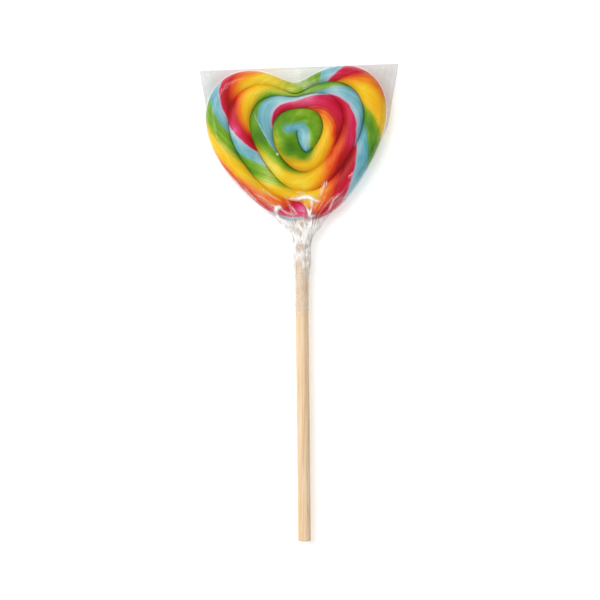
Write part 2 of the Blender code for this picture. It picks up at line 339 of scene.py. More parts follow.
def strandPhase(along, across, places):
    # counts strands along the rope: a whole number is a seam, and a multiple of 5 starts a green one. The
    # first count is even in angle, for pull lines; the second goes by millimetres from a seam, for colour.
    along, across = np.broadcast_arrays(along, across)
    even, near = np.full(along.shape, -1.0), np.full(along.shape, -1.0)
    starts = [strandStarts[colour][turn] for turn in range(7) for colour in strandOrder]
    before, fromSeam, fromReach = np.full(along.shape, float(candy["coilStart"])), None, candy["seam"]
    seamAcross = np.linspace(1, 0, candy["seamPoints"])
    for count, start in enumerate(starts + [(candy["coilEnd"], candy["coilEnd"])]):
        here = seamAlong(start, across)
        within = (along >= before) & (along < here)
        turns = seamAlong(start, seamAcross)
        inner, outer = ropeEdge(turns - 360), ropeEdge(turns)
        toSeam = atAngle(turns, inner + (outer - inner) * seamAcross)
        toReach = start[3] if len(start) > 3 else candy["seam"]
        if within.any():
            even[within] = count - 1 + ((along - before) / (here - before))[within]
            done = np.ones(within.sum())
            if fromSeam is not None:
                done = np.minimum(distanceTo(fromSeam, places[within]) / fromReach, 1)
            left = np.minimum(distanceTo(toSeam, places[within]) / toReach, 1)
            near[within] = count - 1 + done / np.maximum(done + left, 0.001)
        before, fromSeam, fromReach = here, toSeam, toReach
    curled = (along > candy["curlAlong"][0]) & (along < candy["curlAlong"][1])
    away = distanceTo(candy["curl"], places[curled])
    near[curled] = np.minimum(near[curled], (away - candy["curlHalf"]) / (2 * candy["seam"]))
    ending = along > strandStarts["red"][6][0]
    share = np.exp(-(distanceTo(candy["cutEnd"], places[ending]) / candy["cutEndHalf"]) ** 4)
    near[ending] += (candy["cutEndPhase"] - near[ending]) * share
    return even + 5, near + 5


def candyRise(points, face):
    # half thickness of the candy over each point of its plan, for the shown face (0) or the back (1)
    away = np.hypot(distanceTo(grooveLine, points), candy["grooveRound"])
    inGroove = 1 - np.minimum(away / candy["ropeHalf"][face], 1)
    rise = candy["thickness"] / 2 - candy["grooveDepth"][face] * (1 - np.sqrt(1 - inGroove ** 2))
    intoRim = 1 - np.minimum(distanceTo(borderLine, points) / candy["rim"], 1)
    return np.where(insideHeart(points), rise * np.sqrt(1 - intoRim ** 2), 0)


def ropeFace(face):
    # one face as a strip that follows the rope; the turns meet along the grooves
    steps, rows = candy["stepsPerTurn"], candy["rows"][face]
    last = round((heart["outerEnd"][1] + 360 - heart["innerEnd"][0]) * steps / 360)
    along = heart["innerEnd"][0] + np.arange(last + 1) * 360 / steps
    inner, outer = ropeEdge(along - 360), ropeEdge(along)
    share = (1 - np.cos(math.pi * np.arange(rows + 1) / rows)) / 2
    plan = atAngle(along[:, None], inner[:, None] + (outer - inner)[:, None] * share)
    index = np.zeros((last + 1, rows + 1), int)
    index[1:last, 1:] = 1 + np.arange((last - 1) * rows).reshape(last - 1, rows)
    index[last, 1:] = index[last - steps, rows]
    index[steps:, 0] = index[:last + 1 - steps, rows]
    places = np.zeros((1 + (last - 1) * rows, 2))
    places[0] = heart["centre"]
    places[index[1:last, 1:]] = plan[1:last, 1:]
    even, near = strandPhase(along[:, None], share[None, :], plan)
    dip = np.zeros(len(places))
    dip[index[1:last, 1:]] = np.exp(-((near - np.round(near)) / candy["dipHalf"]) ** 2)[1:last, 1:]
    rise = candyRise(places, face)
    inside = np.clip(rise / (candy["thickness"] / 2), 0, 1) ** 2
    swell = candy["unevenness"] * (smoothNoise(places, candy["unevenSize"], 3 + face) - 1)
    rise += inside * (swell - candy["strandDip"] * dip) * (1 if face == 0 else 0.4)
    points = np.column_stack([places, middleZ + (1 if face == 0 else -1) * rise])
    edgeRing = index[last - steps:last, rows]
    points[edgeRing, 2] = middleZ
    faces, corners = [], []
    for c in range(last):
        for r in range(rows):
            seen = {}
            for key in ((c, r), (c + 1, r), (c + 1, r + 1), (c, r + 1)):
                seen.setdefault(int(index[key]), key)
            if len(seen) > 2:
                order = list(seen)[::-1] if face == 0 else list(seen)
                faces.append(order)
                corners += [seen[i] for i in order]
    at = tuple(np.array(corners).T)
    strands = np.column_stack([near[at], even[at]])
    # the painted shade in a crack is darkest between green and blue, faintest in orange
    cool = np.zeros(len(places))
    np.maximum.at(cool, index[1:last].ravel(), 0.5 + 0.5 * np.cos(near[1:last] * math.tau / 5).ravel())
    return points, faces, edgeRing, strands, depthMaps(places, cool, face)


def depthMaps(places, cool, face):
    # how much painted shade each place gets in a crack and beside a groove, and its deeper or paler patch
    fromGroove = distanceTo(grooveLine, places)
    strength = np.clip(0.25 + 0.6 * cool + 0.35 * smoothNoise(places, candy["crackNoise"], 31), 0.1, 1)
    crack = strength * np.exp(-(fromGroove / candy["crackHalf"]) ** 2)
    strength = np.clip(0.7 + 0.6 * smoothNoise(places, candy["shadeNoise"], 37), 0, 1)
    shade = np.exp(-(fromGroove / candy["shadeHalf"]) ** 2) * strength
    patch = np.zeros(len(places))
    for middle, reach, strength in sugarPatches if face == 0 else ():
        patch += strength * np.exp(-((places - middle) ** 2).sum(axis=1) / reach ** 2)
    return {"crack": crack, "shade": shade, "patch": patch}


def buildCandy():
    topPoints, topFaces, topEdge, topStrands, topMaps = ropeFace(0)
    backPoints, backFaces, backEdge, backStrands, backMaps = ropeFace(1)
    # the two faces share one edge, so the back's own edge points are left out
    kept = np.setdiff1d(np.arange(len(backPoints)), backEdge)
    renumber = np.zeros(len(backPoints), int)
    renumber[kept] = len(topPoints) + np.arange(len(kept))
    renumber[backEdge] = topEdge
    points = np.vstack([topPoints, backPoints[kept]])
    faces = topFaces + [[int(renumber[i]) for i in face] for face in backFaces]
    return meshPiece("sugarHeart", points, faces, {"strands": np.vstack([topStrands, backStrands])},
                     {key: np.concatenate([topMaps[key], backMaps[key][kept]]) for key in topMaps})


# The sugar's colours are raised to a power, to which each of the depths adds its share, and then darkened
# the shade and crack depths and tones paint shade in and beside the grooves
sugar = {
    "wanderSize": 4.0,          # over such lengths the seams wander
    "wander": 0.30,             # as a share of a strand
    "pullLines": (6.0, 1.6, 1),  # how dense they are across the strands, and how uneven along them
    "batchSize": 13.0,
    "batchDepth": 1.2,
    "leastDepth": -0.12,
    "pullDepth": 1.2,
    "patchDepth": 1.0,
    "shadeDepth": 0.35,
    "crackDepth": 1.1,
    "shadeTone": (0.35, "C4BCA4"),
    "crackShadeTone": (0.5, "7C6A48"),
    "fineSize": 0.9,
    "fineHeight": 0.15,
}


def sugarMaterial():
    # Boiled sugar, pulled to coloured strands and pressed: satin, a little see-through, with soft seams
    made, tree = newMaterial("pulledBoiledSugarSatin")
    strandMap = addNode(tree, "ShaderNodeUVMap", {"uv_map": "strands"})
    strand = addNode(tree, "ShaderNodeSeparateXYZ", inputs={"Vector": strandMap.outputs["UV"]})
    place = addNode(tree, "ShaderNodeTexCoord").outputs["Object"]
    wander = noiseNode(tree, place, sugar["wanderSize"], 4.0)
    shifted = mathNode(tree, "MULTIPLY_ADD", wander, sugar["wander"], strand.outputs["X"])
    centred = mathNode(tree, "SUBTRACT", shifted, sugar["wander"] / 2)
    cycle = mathNode(tree, "FRACT", mathNode(tree, "MULTIPLY", centred, 1 / len(strandOrder)))
    stops = [((i + share) / len(strandOrder), hexColour(tone))
             for i, colour in enumerate(strandOrder) for share, tone in strandTones[colour]]
    seamMix = [(a + b) / 2 for a, b in zip(stops[0][1], stops[-1][1])]
    colour = rampNode(tree, cycle, [(0.0, seamMix)] + stops + [(1.0, seamMix)])
    # fine deeper and paler pull lines run along the strands, where the even count changes slowly
    pullPlace = addNode(tree, "ShaderNodeCombineXYZ", inputs={"X": strand.outputs["Y"], "Y": wander})
    pullScale = addNode(tree, "ShaderNodeMapping", inputs={
        "Vector": pullPlace.outputs[0], "Scale": sugar["pullLines"]})
    pull = addNode(tree, "ShaderNodeTexNoise", inputs={
        "Vector": pullScale.outputs[0], "Scale": 1.0, "Detail": 3.0, "Roughness": 0.6}).outputs["Fac"]
    batch = noiseNode(tree, place, sugar["batchSize"], 2.0)
    patch, shade, crack = attributeNodes(tree, "patch", "shade", "crack")
    # the colour is deeper along a pull line; patches add painted shade and light, and grooves and cracks
    # painted shade
    depth = mathNode(tree, "MULTIPLY_ADD", batch, sugar["batchDepth"], sugar["leastDepth"])
    for source, key in (
            (pull, "pullDepth"), (patch, "patchDepth"), (shade, "shadeDepth"), (crack, "crackDepth")):
        depth = mathNode(tree, "MULTIPLY_ADD", source, sugar[key], depth)
    colour = addNode(tree, "ShaderNodeGamma", inputs={"Color": colour, "Gamma": depth}).outputs[0]
    # the painted shade of the grooves and the cracks also darkens the colour
    for source, (share, tone) in ((shade, sugar["shadeTone"]), (crack, sugar["crackShadeTone"])):
        colour = mixNode(tree, mathNode(tree, "MULTIPLY", source, share), colour, hexColour(tone), "MULTIPLY")
    fine = noiseNode(tree, place, sugar["fineSize"], 3.0)
    bump = addNode(tree, "ShaderNodeBump", inputs={
        "Strength": 0.12, "Distance": sugar["fineHeight"] * mm, "Height": fine})
    shader = addNode(tree, "ShaderNodeBsdfPrincipled", inputs={
        "Base Color": colour, "Roughness": rangeNode(tree, fine, 0.0, 1.0, 0.30, 0.46), "IOR": 1.49,
        "Specular IOR Level": 0.2, "Subsurface Weight": 0.12, "Subsurface Radius": (1.0, 0.6, 0.4),
        "Subsurface Scale": 0.8 * mm, "Normal": bump.outputs["Normal"]})
    addNode(tree, "ShaderNodeOutputMaterial", inputs={"Surface": shader.outputs["BSDF"]})
    return made


sugarHeart = buildCandy()
finishPiece(sugarHeart, sugarMaterial(), "candy")
print("candy: coiled rope,", len(sugarHeart.data.polygons), "faces")


# The stick

stick = {
    "x": (stickLow[0] + stickHigh[0]) / 2,
    "radius": (stickHigh[0] - stickLow[0]) / 2,
    "edge": 0.45,               # how far the end is eased
    "unevenness": 0.05,
    "bulges": 8,                # round the stick
    "bulgeLength": 12.0,
    "sides": 72,
    "stations": 180,
    "easeSteps": 6,
    "grain": 0.55,              # width of a grain line; they run forty times as long
    "grainRun": 0.025,
    "broadGrain": 2.6,
    "rings": 2.2,
    "grainTones": [(0.30, "D6AE7C"), (0.48, "EED1AA"), (0.70, "F5DDBC")],
    "broadTones": [(0.35, "EFE4D4"), (0.62, "FFFFFF")],
    "endTones": [(0.15, "B98F5E"), (0.75, "DDBB8A")],
}


def buildStick():
    # a turned rod along Y, with eased ends; each end is closed by one more ring and a fan
    low, high = stickLow[1], stickHigh[1]
    ease = np.linspace(0, 1, stick["easeSteps"])
    lowEnd = [(low + stick["edge"] * (1 - math.cos(e * math.pi / 2)), math.sin(e * math.pi / 2))
              for e in ease]
    stations = np.linspace(low + stick["edge"], high - stick["edge"], stick["stations"])
    body = [(y, 1.0) for y in stations[1:-1]]
    highEnd = [(high - (y - low), e) for y, e in reversed(lowEnd)]
    profile = [(y, stick["radius"] - stick["edge"] * (1 - e)) for y, e in lowEnd + body + highEnd]
    profile = [(low, stick["radius"] / 2)] + profile + [(high, stick["radius"] / 2)]
    count = stick["sides"]
    around = 2 * math.pi * np.arange(count) / count
    points, faces = [], []
    for y, radius in profile:
        place = np.column_stack([
            np.arange(count) * stick["bulges"] / count, np.full(count, y / stick["bulgeLength"])])
        bulge = 0.5 + 0.5 * smoothNoise(place, 1.0, 11, wrap=stick["bulges"])
        radii = radius - stick["unevenness"] * bulge
        points += zip(
            stick["x"] + radii * np.cos(around), np.full(count, y), middleZ + radii * np.sin(around))
    for row in range(len(profile) - 1):
        for i in range(count):
            j = (i + 1) % count
            faces.append((row * count + i, row * count + count + i, row * count + count + j, row * count + j))
    last = (len(profile) - 1) * count
    points += [(stick["x"], low, middleZ), (stick["x"], high, middleZ)]
    for i in range(count):
        j = (i + 1) % count
        faces.append((i, j, last + count))
        faces.append((last + j, last + i, last + count + 1))
    piece = meshPiece("stickRod", points, faces)
    piece.data.set_sharp_from_angle(angle=math.radians(50))
    return piece


def birchMaterial():
    # Birch dowel, sanded and unvarnished: matt, pale straw, fine grain lines along it and a darker cut end
    made, tree = newMaterial("birchDowelSanded")
    place = addNode(tree, "ShaderNodeTexCoord").outputs["Object"]
    grainPlace = addNode(tree, "ShaderNodeMapping", inputs={
        "Vector": place, "Scale": (1, stick["grainRun"], 1)}).outputs[0]
    grain = noiseNode(tree, grainPlace, stick["grain"], 5.0, 0.6)
    broad = noiseNode(tree, grainPlace, stick["broadGrain"], 2.0)
    rings = addNode(tree, "ShaderNodeTexWave", inputs={
        "Vector": place, "Scale": 1 / (stick["rings"] * mm), "Distortion": 1.5, "Detail": 3.0})
    tone, patch, endTone = (
        rampNode(tree, pattern, [(share, hexColour(text)) for share, text in stick[tones]]) for pattern, tones
        in ((grain, "grainTones"), (broad, "broadTones"), (rings.outputs["Fac"], "endTones")))
    # the cut end shows its rings and soaks up more dirt than the sides
    lengthwise = addNode(tree, "ShaderNodeSeparateXYZ", inputs={"Vector": place}).outputs["Y"]
    atEnd = rangeNode(tree, lengthwise, (stickLow[1] + stick["edge"]) * mm, stickLow[1] * mm)
    shown = mixNode(tree, atEnd, mixNode(tree, 0.8, tone, patch, "MULTIPLY"), endTone)
    bump = addNode(tree, "ShaderNodeBump", inputs={"Strength": 0.35, "Distance": 0.12 * mm, "Height": grain})
    shader = addNode(tree, "ShaderNodeBsdfPrincipled", inputs={
        "Base Color": shown, "Roughness": rangeNode(tree, grain, 0.0, 1.0, 0.75, 0.55), "IOR": 1.5,
        "Normal": bump.outputs["Normal"]})
    addNode(tree, "ShaderNodeOutputMaterial", inputs={"Surface": shader.outputs["BSDF"]})
    return made


stickRod = buildStick()
finishPiece(stickRod, birchMaterial(), "stick")
print("stick: turned rod,", len(stickRod.data.polygons), "faces")


# The film bag: one tube of closed loops, from the sealed top edge down to its mouth round the stick

film = {
    "topLeft": (-46.3, 108.3),
    "topRight": (46.4, 110.7),
    "leftSideEnds": (-43.4, 91.0),
    "rightSideEnds": (41.6, 84.0),
    "leavesOver": 8.0,          # the height over which each side leaves the candy
    "hug": 0.45,                # how far its edge stands off the candy's outline
    "clearance": (0.16, 0.38),  # over the shown face and the back
    "sealHalf": 0.12,
    "lowest": 0.02,             # it lies on the floor and no point is under it
    "stationStep": 0.45,
    "frontPoints": 236,
    "backPoints": 120,
    "grid": 0.5,                # the pitch on which the film is stretched, and how far the grid goes
    "gridSides": (-48, 48.1),
    "gridEnds": (28, 112.1),
    "stretchSteps": 900,
    "mouthY": -4.2,
    "mouthWave": 1.3,           # its cut end is a little uneven
    "mouthWaveReach": 9.0,
    "pleats": 22,
    "pleatHeight": 0.55,
    "pleatLength": 14.0,
    "pleatTwist": 0.05,
    "pleatsFrom": 36,           # the height from which the pleats spread over the candy
    "pleatSpread": (9.5, 9),    # how far they reach in the middle, and how much farther at the sides
    "crumpleLength": 1.9,
    "crumpleHeight": 0.22,
    "creaseBreaks": 2.6,        # over such lengths a crease's white, partly a painted glint, is broken up
    "rippleSize": 6.0,
    "rippleHeight": 0.06,
    "crowding": 0.35,           # how far the bag's points crowd to its sides; on the sleeve they do so fully
    "turnsToSleeve": (34.5, 42.0),
    "tiltStarts": 92,           # above this the stations lean with the top edge
    "mouthWhite": 0.36,         # the sleeve is this white at its mouth, and fully white above
    "sleeveWhitens": (8, 27),
    "funnelWhite": 0.8,
    "funnelWhitens": (14, 32),
    "funnelClears": (42, 54),
    "looseFrom": 0.7,           # from so far off the candy the film counts as loose
    "sealHaze": 0.9,
    "sealHazeReach": 0.7,
    "notchClear": 0.5,          # the film between the lobes is this much clearer, to so far from the middle: painted light against the lobes' shade
    "notchReach": 13,
    "notchClears": (94, 99),
    "seeds": {"pleat": 21, "crumple": 22, "ripple": 23, "crease": 27, "mouth": 29},
    "clearTone": "FBFBFA",
    "looseTone": "E9E9E8",
    "layersTone": "EADFD7",
    "milkTone": "FAF8F5",
    "mottle": 2.4,
    "looseMilk": 0.06,
    "gatherMilk": 0.66,
    # creases whiten the film by this share: partly film whitened at the folds, partly painted glints
    "creaseGlintShare": 0.95,
}

# The gathered neck: y, left side, right side, half height
neckStations = (
    (46.8, -18.0, 20.2, 4.9), (42.4, -15.4, 15.5, 4.8), (39.7, -11.9, 12.6, 4.7), (37.3, -9.9, 10.7, 4.5),
    (35.6, -7.3, 9.4, 4.3), (32.6, -4.4, 6.8, 4.1), (30.6, -3.4, 5.4, 3.9), (27.8, -3.15, 4.8, 3.8),
    (24.0, -3.15, 4.4, 3.7), (18.9, -3.1, 4.5, 3.7), (14.5, -3.1, 3.8, 3.6), (9.0, -2.95, 3.7, 3.4),
    (-4.3, -2.85, 3.6, 3.25),
)

# Single creases: their course in the plan, height, half width and how white they are. The white is partly
# film whitened at the fold and partly a painted glint; the four broad, faint ones at the end are painted
# light and painted sheen. Above 1 a crease stays white where it is broken up.
creasesAndGlints = (
    ([(-21.1, 88.4), (-19.3, 83.8), (-16.1, 78.2), (-12.9, 72.1), (-10.4, 69.0)], 0.22, 0.45, 0.35),
    ([(-10.7, 68.9), (-9.9, 68.3)], 0.30, 0.70, 0.95),
    ([(-38.9, 77.0), (-35.2, 72.8), (-28.8, 67.3)], 0.20, 0.45, 0.25),
    ([(-5.2, 48.1), (-1.7, 48.0), (1.2, 48.6), (3.4, 48.8), (5.4, 48.0), (7.5, 46.9), (9.8, 46.8)],
     0.50, 1.35, 1.30),
    ([(5.6, 48.8), (5.4, 47.0), (5.3, 45.2), (5.5, 43.2)], 0.50, 1.15, 0.95),
    ([(-8.1, 43.3), (-9.6, 44.3), (-11.0, 44.0), (-11.3, 42.4), (-10.6, 40.4), (-9.6, 38.4)],
     0.65, 1.50, 1.50),
    ([(-11.0, 43.4), (-9.6, 43.7)], 0.20, 1.50, 1.00),
    ([(2.6, 45.0), (3.6, 42.6), (4.2, 40.6), (5.4, 44.4)], 0.40, 0.95, 1.40),
    ([(3.2, 40.3), (4.8, 39.9), (6.8, 40.4)], 0.30, 1.10, 0.70),
    ([(-4.6, 45.1), (-2.8, 42.6), (-1.0, 40.2)], 0.35, 0.80, 0.50),
    ([(-7.7, 42.8), (-6.3, 41.5), (-4.4, 40.9), (-1.7, 40.6)], 0.35, 0.95, 0.70),
    ([(-1.9, 50.9), (3.0, 50.4)], 0.20, 0.55, 0.35),
    ([(11.4, 55.6), (10.5, 52.3), (9.5, 48.9)], 0.40, 0.70, 0.80),
    ([(12.4, 56.0), (11.9, 53.6)], 0.30, 0.50, 0.60),
    ([(18.6, 50.4), (15.5, 47.4), (12.4, 41.2)], 0.45, 0.60, 0.70),
    ([(15.0, 47.2), (15.6, 47.0)], 0.30, 0.80, 0.95),
    ([(-15.2, 46.2), (-12.2, 44.8), (-8.5, 43.0), (-5.6, 40.8)], 0.40, 0.65, 0.75),
    ([(-34.7, 62.3), (-28.0, 54.6), (-21.1, 47.0), (-14.9, 42.1)], 0.35, 0.55, 0.65),
    ([(-29.6, 58.2), (-23.9, 51.4), (-20.1, 47.4), (-15.8, 43.6)], 0.30, 0.45, 0.45),
    ([(-17.2, 52.6), (-12.6, 49.0), (-8.4, 46.6)], 0.30, 0.50, 0.45),
    ([(-21.5, 50.8), (-16.0, 47.6), (-11.6, 45.6)], 0.30, 0.50, 0.40),
    ([(22.2, 57.1), (24.6, 59.9)], 0.25, 0.45, 0.60),
    ([(36.1, 108.6), (39.3, 109.5)], 0.20, 0.50, 0.45),
    ([(-7.1, 105.9), (-1.9, 103.8), (4.2, 103.2)], 0.15, 0.70, 0.12),
    ([(-9.2, 39.0), (-5.8, 36.6), (-3.2, 33.0), (-1.6, 28.8)], 0.45, 0.70, 0.80),
    ([(5.4, 38.9), (3.9, 34.7), (2.5, 30.1)], 0.40, 0.55, 0.70),
    ([(-1.9, 37.4), (0.6, 34.6), (1.4, 30.2)], 0.40, 0.55, 0.60),
    ([(0.9, 20.4), (1.2, 16.0)], 0.10, 1.00, 0.85),
    ([(-9.0, 107.2), (-3.0, 105.2), (3.0, 104.8)], 0.05, 2.40, 0.22),
    ([(-3.5, 101.9), (1.5, 101.0), (6.5, 101.9)], 0.05, 2.40, 0.22),
    ([(-5.0, 92.4), (1.2, 93.5), (7.4, 94.3)], 0.05, 2.20, 0.14),
    ([(15.5, 99.2), (20.0, 99.8)], 0.05, 2.40, 0.16),
)


def sideLine(y, top, end):
    return top[0] + (end[0] - top[0]) * (y - top[1]) / (end[1] - top[1])


def filmSides(y):
    # the left and right sides of the film's plan at each y
    y = np.asarray(y, float)
    sides = []
    for branch, top, end, sign, column in (
            (np.arange(275.6, 166, -1.0), film["topLeft"], film["leftSideEnds"], -1, 1),
            (np.arange(-84.4, 22, 1.0), film["topRight"], film["rightSideEnds"], 1, 2)):
        hugging = atAngle(branch, heartOutline(branch) + film["hug"])
        order = np.argsort(hugging[:, 1])
        hugged = np.interp(y, hugging[order, 1], hugging[order, 0])
        straight = sideLine(y, top, end)
        leaving = eased(y, end[1] - film["leavesOver"], end[1])
        body = sign * hugged + leaving * np.maximum(0, sign * (straight - hugged))
        stations = np.array(neckStations)[::-1]
        neck = sign * np.interp(y, stations[:, 0], stations[:, column])
        lowest = hugging[order[0], 1]
        body = np.where(y < lowest, 0, body)
        neck = np.where(y < stations[-1, 0], neck, 0)
        sides.append(sign * np.maximum(body, neck))
    return sides


def stretchOver(obstacle, inside, edgeHeight):
    # pulls a sheet tight over the obstacle: each point goes to the mean of its neighbours, or rests on it
    height = np.where(inside, np.maximum(obstacle, edgeHeight), edgeHeight)
    for step in range(film["stretchSteps"]):
        mean = (height[2:, 1:-1] + height[:-2, 1:-1] + height[1:-1, 2:] + height[1:-1, :-2]) / 4
        height[1:-1, 1:-1] = np.where(inside[1:-1, 1:-1], np.maximum(mean, obstacle[1:-1, 1:-1]), edgeHeight)
    return height


def stickRise(points):
    # half thickness of the stick over each point of the plan
    away = points[:, 0] - stick["x"]
    return np.sqrt(np.maximum(0, stick["radius"] ** 2 - away ** 2))


def sampleGrid(height, xs, ys, points):
    column = np.clip((points[:, 0] - xs[0]) / film["grid"], 0, len(xs) - 1.001)
    row = np.clip((points[:, 1] - ys[0]) / film["grid"], 0, len(ys) - 1.001)
    i, j = row.astype(int), column.astype(int)
    down, across = row - i, column - j
    return (height[i, j] * (1 - down) * (1 - across) + height[i + 1, j] * down * (1 - across)
            + height[i, j + 1] * (1 - down) * across + height[i + 1, j + 1] * down * across)


def topEdgeY(x):
    (x0, y0), (x1, y1) = film["topLeft"], film["topRight"]
    return y0 + (y1 - y0) * (x - x0) / (x1 - x0)


def sheetHeights(points, face):
    # how far one sheet of the bag stands off the middle plane, stretched over the candy and the stick
    xs = np.arange(*film["gridSides"], film["grid"])
    ys = np.arange(*film["gridEnds"], film["grid"])
    gridX, gridY = np.meshgrid(xs, ys)
    flat = np.column_stack([gridX.ravel(), gridY.ravel()])
    clearance = film["clearance"][face]

    def obstacleAt(places):
        over = candyRise(places, face)
        return np.maximum(np.where(over > 0, over + clearance, 0), stickRise(places) + clearance)

    obstacle = obstacleAt(flat).reshape(gridX.shape)
    left, right = filmSides(ys)
    inside = (gridX > left[:, None]) & (gridX < right[:, None]) & (gridY < topEdgeY(gridX))
    height = stretchOver(obstacle, inside, film["sealHalf"])
    return np.maximum(sampleGrid(height, xs, ys, points), obstacleAt(points))


def sleeveShape(y):
    # 0 on the bag, 1 where the film is a sleeve round the stick
    return 1 - eased(y, *film["turnsToSleeve"])


def buildFilm():
    tilt0 = (film["topRight"][1] - film["topLeft"][1]) / (film["topRight"][0] - film["topLeft"][0])
    topMiddle = topEdgeY(0)
    rows = round((topMiddle - film["mouthY"]) / film["stationStep"])
    middles = np.linspace(topMiddle, film["mouthY"], rows + 1)
    tilt = tilt0 * eased(middles, film["tiltStarts"], topMiddle)
    left, right = filmSides(middles)
    # a station leans, so its sides are taken at the heights that it has there
    for i in range(3):
        left = filmSides(middles + tilt * left)[0]
        right = filmSides(middles + tilt * right)[1]
    # sides are evened out a little, so that corners in the outline are soft
    kernel = np.array([1, 2, 3, 2, 1]) / 9
    for side in (left, right):
        side[2:-2] = np.convolve(side, kernel, "valid")
    middleX, halfWidth = (left + right) / 2, (right - left) / 2
    sleeve = sleeveShape(middles)[:, None]
    halfHeight = np.interp(middles, *np.array(neckStations)[::-1][:, (0, 3)].T)[:, None]
    sheets = []
    for face, count in ((0, film["frontPoints"]), (1, film["backPoints"])):
        u = np.linspace(-1, 1, count + 1)
        crowded = film["crowding"] + (1 - film["crowding"]) * sleeve
        across = (1 - crowded) * u + crowded * np.sin(u * math.pi / 2)
        x = middleX[:, None] + halfWidth[:, None] * across
        nearMouth = 1 - eased(middles, film["mouthY"], film["mouthY"] + film["mouthWaveReach"])
        wavePlace = np.stack([1.6 * u + 3 * face, 0 * u], axis=-1)
        wave = smoothNoise(wavePlace, 1.0, film["seeds"]["mouth"]) * (1 - u ** 4)
        y = middles[:, None] + tilt[:, None] * x + film["mouthWave"] * nearMouth[:, None] * wave
        places = np.column_stack([x.ravel(), y.ravel()])
        onBag = sheetHeights(places, face).reshape(x.shape)
        onSleeve = halfHeight * np.sqrt(np.clip(1 - across ** 2, 0, 1))
        z = onBag * (1 - sleeve) + np.maximum(onSleeve, 0) * sleeve
        edge = np.isin(np.arange(count + 1), (0, count))
        z = np.where(edge[None, :], 0, z)
        z[0] = film["sealHalf"] * np.sqrt(1 - u ** 2)
        lift, foldWhiteAndGlint = filmRelief(x, y, u, face, sleeve)
        gather, loose = filmHaze(x, y, places, sleeve)
        outX = sleeve * across
        outZ = np.sqrt(np.clip(1 - outX ** 2, 0.02, 1))
        fade = np.where(sleeve > 0.5, 1, np.sqrt(np.clip(1 - np.abs(u) ** 8, 0, 1))[None, :])
        fade = fade * eased(topMiddle - middles, 0, 2)[:, None]
        side = 1 if face == 0 else -1
        height = np.maximum(middleZ + side * (z + outZ * lift * fade), film["lowest"])
        points = np.stack([x + outX * lift * fade, y, height], axis=-1)
        sheets.append((points, foldWhiteAndGlint, gather, loose))
    # the loop runs over the front sheet from left to right, and back under it
    loops, foldWhiteAndGlint, gather, loose = (
        np.concatenate([front, back[:, -2:0:-1]], axis=1) for front, back in zip(*sheets))
    count = loops.shape[1]
    index = np.arange(loops.shape[0] * count).reshape(-1, count)
    nextOne = np.roll(index, -1, axis=1)
    faces = np.stack([index[:-1], index[1:], nextOne[1:], nextOne[:-1]], axis=-1).reshape(-1, 4)
    return meshPiece("filmBag", loops.reshape(-1, 3), faces.tolist(), None, {
        "crease": foldWhiteAndGlint.ravel(), "gather": gather.ravel(), "loose": loose.ravel()})


def filmHaze(x, y, places, sleeve):
    # how far the film is gathered to white, and how far it hangs loose and hazy
    loose = eased(distanceTo(borderLine, places), 0, film["looseFrom"]) * ~insideHeart(places)
    loose = loose.reshape(x.shape)
    mouthWhite = film["mouthWhite"]
    onSleeve = sleeve * (mouthWhite + (1 - mouthWhite) * eased(y, *film["sleeveWhitens"]))
    inFunnel = film["funnelWhite"] * loose * (1 - eased(y, *film["funnelClears"]))
    gather = np.maximum(onSleeve, inFunnel * eased(y, *film["funnelWhitens"]))
    # the seal along the top edge is doubled, and the film between the lobes is pulled flat and made clearer,
    # which is also painted light against the lobes' shade
    loose = loose + film["sealHaze"] * np.exp(-((topEdgeY(x) - y) / film["sealHazeReach"]) ** 2)
    inNotch = np.exp(-(x / film["notchReach"]) ** 2) * eased(y, *film["notchClears"])
    loose = loose * (1 - film["notchClear"] * inNotch)
    return gather, loose * (1 - gather) * (1 - sleeve)


